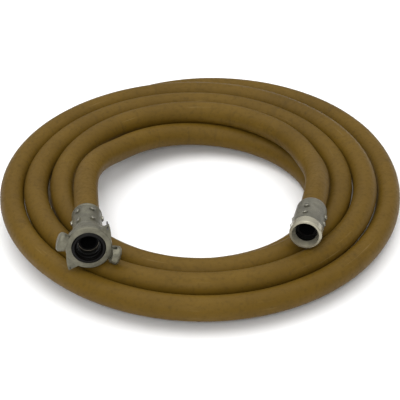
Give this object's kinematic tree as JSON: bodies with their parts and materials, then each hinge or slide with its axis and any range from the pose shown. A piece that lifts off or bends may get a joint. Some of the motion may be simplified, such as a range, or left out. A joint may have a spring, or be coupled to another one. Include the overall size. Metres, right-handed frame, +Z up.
{
  "type": "coiled blast hose with claw coupling",
  "caption": "Coiled rubber blasting hose with a cast claw quick coupling on one end and a screwed-on aluminium nozzle holder on the other.",
  "frame": {"origin": "on the claw coupling's axis, in the middle of its gasket's bore", "axes": "+Z is up, with the coil lying on a floor 101 mm below the origin; -Y is the way the coupling and the nozzle holder roughly point; +X runs from the coupling to the nozzle holder"},
  "size_m": [0.6735, 0.7424, 0.1388],
  "materials": {
    "cast_aluminium": "sand-cast, dull, with machined edges",
    "turned_aluminium": "dull sleeve with a bright turned front",
    "black_rubber": "matt moulded rubber",
    "zinc_steel": "zinc-plated screws",
    "dark_wire": "dark spring wire",
    "hose_cover": "tan-brown, satin, faint wrap marks",
    "hose_liner": "black tube rubber",
    "hose_ply": "woven cord in rubber"
  },
  "bodies": {
    "hose_assembly": {"claw_coupling_body": "cast_aluminium", "coupling_gasket": "black_rubber", "coupling_screws_front": "zinc_steel", "coupling_screws_rear": "zinc_steel", "nozzle_holder_body": "turned_aluminium", "nozzle_washer": "black_rubber", "holder_screws_front": "zinc_steel", "holder_screws_rear": "zinc_steel", "coupling_end_liner": "hose_liner", "coupling_end_inner_ply": "hose_ply", "coupling_end_outer_ply": "hose_ply", "coupling_end_cover": "hose_cover", "holder_end_liner": "hose_liner", "holder_end_inner_ply": "hose_ply", "holder_end_outer_ply": "hose_ply", "holder_end_cover": "hose_cover", "hose_coil": "hose_cover", "hose_coupling_tail": "hose_cover", "hose_holder_tail": "hose_cover"},
    "pin": {"safety_pin": "dark_wire"}
  },
  "joints": [
    {"name": "safety_pin_slide", "type": "slide", "parent": "hose_assembly", "child": "pin", "axis": [-0.0988, 0.9896, -0.1045], "range_m": [0, 0.008]}
  ]
}
